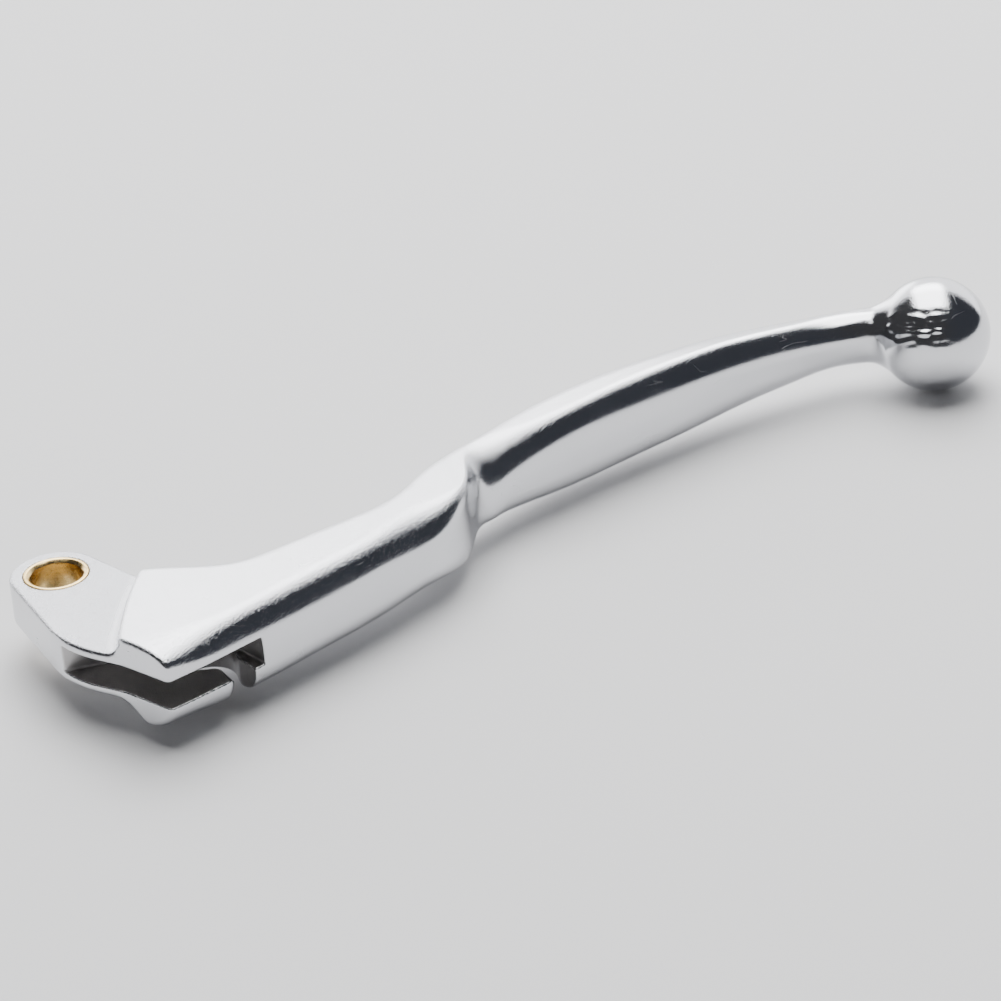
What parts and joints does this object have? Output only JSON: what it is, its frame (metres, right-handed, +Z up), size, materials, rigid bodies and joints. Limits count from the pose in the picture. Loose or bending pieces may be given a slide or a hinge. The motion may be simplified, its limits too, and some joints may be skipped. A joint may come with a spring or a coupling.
{
  "type": "clutch lever",
  "caption": "Polished cable clutch lever: flat pivot eye with a brass bush, slotted ears with a cable-nipple seat, bent finger blade and a ball end.",
  "frame": {"origin": "on the pivot axis, at mid height of the pivot eye", "axes": "+X from the pivot to the centre of the end ball, +Y towards the hand grip, +Z up along the pivot axis, on the side away from the nipple's way in"},
  "size_m": [0.171, 0.0487, 0.0188],
  "materials": {
    "polished_aluminium": "polished",
    "bush_brass": "machined"
  },
  "bodies": {
    "bush": {"pivot_bush": "bush_brass"},
    "lever": {"lever_blade": "polished_aluminium"}
  },
  "joints": [
    {"name": "lever_swing", "type": "hinge", "parent": "bush", "child": "lever", "pos_m": [0, 0, 0], "axis": [0, 0, 1], "range_deg": [0, 22]}
  ]
}
